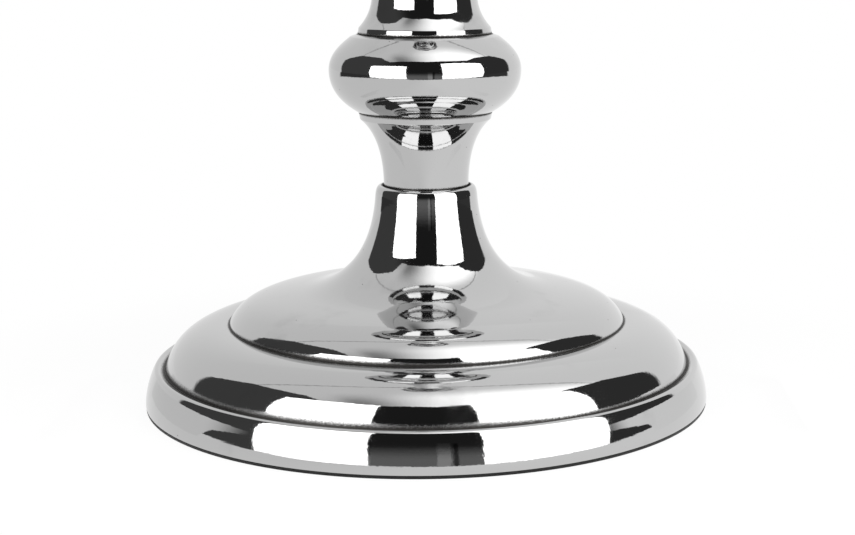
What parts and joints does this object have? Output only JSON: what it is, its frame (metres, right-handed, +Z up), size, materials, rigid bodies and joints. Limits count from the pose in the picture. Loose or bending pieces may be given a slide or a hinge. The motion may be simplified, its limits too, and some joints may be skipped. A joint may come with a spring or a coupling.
{
  "type": "candlestick",
  "caption": "Turned metal candlestick: stepped weighted foot, flared spool, knop, slim stem and candle cup on one tie rod, with a lift-out candle nozzle.",
  "frame": {"origin": "centre of the underside of the felt pad, where the stick stands", "axes": "+Z up along the axis that every turned piece shares"},
  "size_m": [0.12, 0.12, 0.2458],
  "materials": {
    "plated": "mirror polished plating, lightly scratched",
    "steel": "plain zinc-plated steel",
    "cast_iron": "rough as cast",
    "felt": "black wool felt"
  },
  "bodies": {
    "stick": {"felt_pad": "felt", "closing_plate": "steel", "ballast": "cast_iron", "base_shell": "plated", "tie_rod": "steel", "base_washer": "steel", "lock_washer": "steel", "base_nut": "steel", "cup_washer": "steel", "cup_nut": "steel", "spool": "plated", "knop": "plated", "stem": "plated", "upper_knop": "plated", "upper_spool": "plated", "candle_cup": "plated"},
    "nozzle": {"nozzle": "plated"}
  },
  "joints": [
    {"name": "nozzle_lift", "type": "slide", "parent": "stick", "child": "nozzle", "axis": [0, 0, 1], "range_m": [0, 0.03]}
  ]
}
